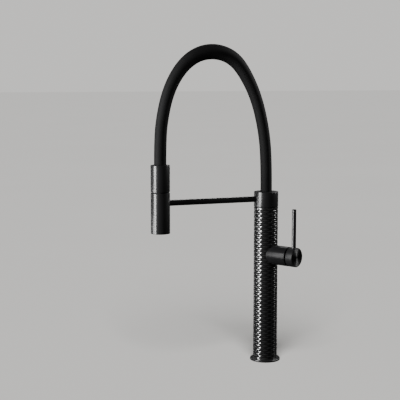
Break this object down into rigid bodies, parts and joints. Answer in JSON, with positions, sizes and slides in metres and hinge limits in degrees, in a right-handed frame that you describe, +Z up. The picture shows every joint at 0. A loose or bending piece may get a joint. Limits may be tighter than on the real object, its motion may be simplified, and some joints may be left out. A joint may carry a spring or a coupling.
{
  "type": "pull down kitchen faucet",
  "caption": "Kitchen mixer on a round column with a woven relief, a swivelling arm that docks a spray head on an arched rubber hose, and a side lever.",
  "frame": {"origin": "on the column's axis, in the plane of the worktop that the base ring and its gasket rest on", "axes": "+Z up along the column; -X along the spout arm towards the spray head at rest; the handle's axis points 60 degrees from +X towards -Y"},
  "size_m": [0.2526, 0.0899, 0.6017],
  "materials": {
    "satin_black": "satin black coating",
    "woven_black": "satin black coating on a woven relief",
    "hose_rubber": "matte",
    "seal_rubber": "matte",
    "brass": "machined",
    "steel": "brushed",
    "magnet_nickel": "nickel plated",
    "ceramic": "lapped ceramic",
    "dark_plastic": "moulded",
    "pale_plastic": "moulded"
  },
  "bodies": {
    "mixer_body": {"base_ring": "satin_black", "base_gasket": "seal_rubber", "threaded_shank": "brass", "rubber_washer": "seal_rubber", "steel_washer": "steel", "clamp_nut": "brass", "column_tube": "steel", "woven_sleeve": "woven_black", "cold_inlet_pipe": "steel", "hot_inlet_pipe": "steel", "mixed_water_pipe": "steel", "valve_block": "brass", "handle_stub": "satin_black", "cartridge_base": "pale_plastic", "port_seals": "seal_rubber", "fixed_disc": "ceramic", "cartridge_shell": "pale_plastic", "cartridge_nut": "brass", "swivel_spindle": "brass", "spindle_o_rings": "seal_rubber", "spindle_clip": "steel", "slip_ring": "dark_plastic"},
    "cartridge_rotor": {"valve_rotor": "pale_plastic", "stem_pin": "steel"},
    "handle": {"valve_stem": "steel", "handle_knob": "satin_black", "lever_rod": "satin_black", "knob_screw": "steel"},
    "disc_slider": {"moving_disc": "ceramic", "disc_carrier": "pale_plastic"},
    "spout": {"swivel_housing": "brass", "hose_seat": "brass", "swivel_collar": "satin_black", "spout_arm": "satin_black", "dock_magnet": "magnet_nickel", "hose_sleeve": "hose_rubber", "support_spring": "steel", "water_tube": "pale_plastic"},
    "hose_end": {"hose_end_sleeve": "satin_black", "hose_end_fitting": "brass", "head_slip_ring": "dark_plastic", "head_o_ring": "seal_rubber", "head_clip": "steel"},
    "spray_head": {"spray_shell": "satin_black", "spray_bush": "brass", "waterway": "pale_plastic", "dock_steel_ring": "steel", "check_valve": "pale_plastic", "inlet_filter": "steel", "aerator_seal": "seal_rubber", "aerator_housing": "dark_plastic", "aerator_insert": "pale_plastic"}
  },
  "joints": [
    {"name": "spout_swivel", "type": "hinge", "parent": "mixer_body", "child": "spout", "pos_m": [0, 0, 0.2745], "axis": [0, 0, 1], "continuous": true},
    {"name": "spray_pull", "type": "slide", "parent": "spout", "child": "hose_end", "axis": [0, 0, -1], "range_m": [0, 0.06], "stiffness_N_per_m": 60, "springref_m": -0.12, "deforming": ["hose_sleeve", "support_spring", "water_tube"]},
    {"name": "spray_turn", "type": "hinge", "parent": "hose_end", "child": "spray_head", "pos_m": [-0.1903, 0, 0.29], "axis": [0, 0, 1], "continuous": true},
    {"name": "temperature_turn", "type": "hinge", "parent": "mixer_body", "child": "cartridge_rotor", "pos_m": [0.0125, -0.02165, 0.1857], "axis": [0.5, -0.866, 0], "range_deg": [-45, 45]},
    {"name": "flow_tilt", "type": "hinge", "parent": "cartridge_rotor", "child": "handle", "pos_m": [0.0125, -0.02165, 0.1857], "axis": [0.866, 0.5, 0], "range_deg": [0, 15]},
    {"name": "disc_slide", "type": "slide", "parent": "cartridge_rotor", "child": "disc_slider", "axis": [0, 0, 1], "range_m": [-0.0001, 0.0019]}
  ],
  "couplings": [
    {"joint": "disc_slide", "follows": "flow_tilt", "m_per_rad": 0.007}
  ]
}
